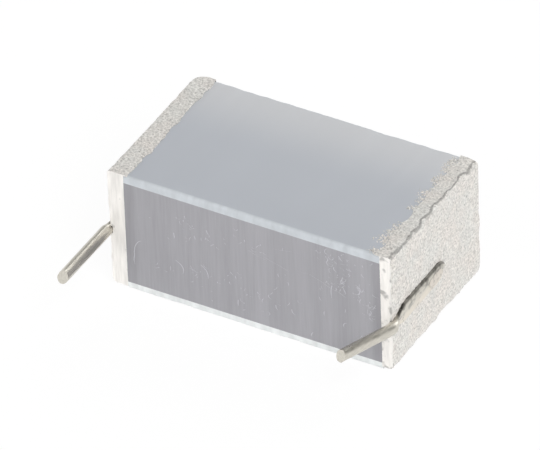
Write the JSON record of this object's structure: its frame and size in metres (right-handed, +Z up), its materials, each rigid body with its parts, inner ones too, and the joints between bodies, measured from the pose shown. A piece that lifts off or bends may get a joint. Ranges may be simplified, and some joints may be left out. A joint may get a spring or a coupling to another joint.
{
  "type": "uncased stacked film capacitor",
  "caption": "Bare block of stacked metallised film with metal-sprayed ends and a short tinned wire lead welded flat to each end.",
  "frame": {"origin": "centre of the underside of the film block", "axes": "+X along the block from the left sprayed end to the right one, -Y the side that both leads leave, +Z up from the face it lies on"},
  "size_m": [0.0164, 0.0133, 0.0069],
  "materials": {
    "sawn_film": "sawn",
    "cover_film": "satin",
    "sprayed_zinc": "grainy",
    "weld_metal": "smeared",
    "tinned_wire": "drawn"
  },
  "bodies": {
    "root": {"film_stack": "sawn_film", "upper_cover_film": "cover_film", "lower_cover_film": "cover_film", "left_end_spray": "sprayed_zinc", "right_end_spray": "sprayed_zinc", "left_weld_bead": "weld_metal", "right_weld_bead": "weld_metal", "left_lead": "tinned_wire", "right_lead": "tinned_wire"}
  },
  "joints": []
}
